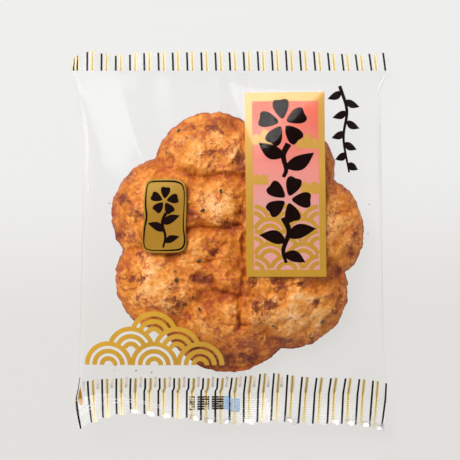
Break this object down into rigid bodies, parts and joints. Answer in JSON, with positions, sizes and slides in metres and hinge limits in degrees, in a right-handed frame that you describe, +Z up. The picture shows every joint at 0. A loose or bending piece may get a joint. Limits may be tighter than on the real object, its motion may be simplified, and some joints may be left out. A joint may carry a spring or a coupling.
{
  "type": "rice cracker in a clear pillow bag",
  "caption": "Flower-shaped seasoned rice cracker sealed in a clear pillow bag with crimped ends, striped seal bands and a gold-framed printed panel.",
  "frame": {"origin": "on the ground under the middle of the bag, at the bottom centre of its box", "axes": "+X across the bag, +Y along it towards the top seal, +Z up from the ground through the pillow"},
  "size_m": [0.114, 0.137, 0.0188],
  "materials": {
    "film": "clear glossy packaging film",
    "cracker": "baked rice dough with a thin soy glaze",
    "seasoning": "dry red-brown seasoning and dark green flecks",
    "gold_print": "ochre gold ink under film",
    "black_print": "black ink under film",
    "coral_print": "coral to pink ink under film",
    "blue_print": "pale steel-blue ink under film"
  },
  "bodies": {
    "root": {"bag": "film"}
  },
  "joints": []
}
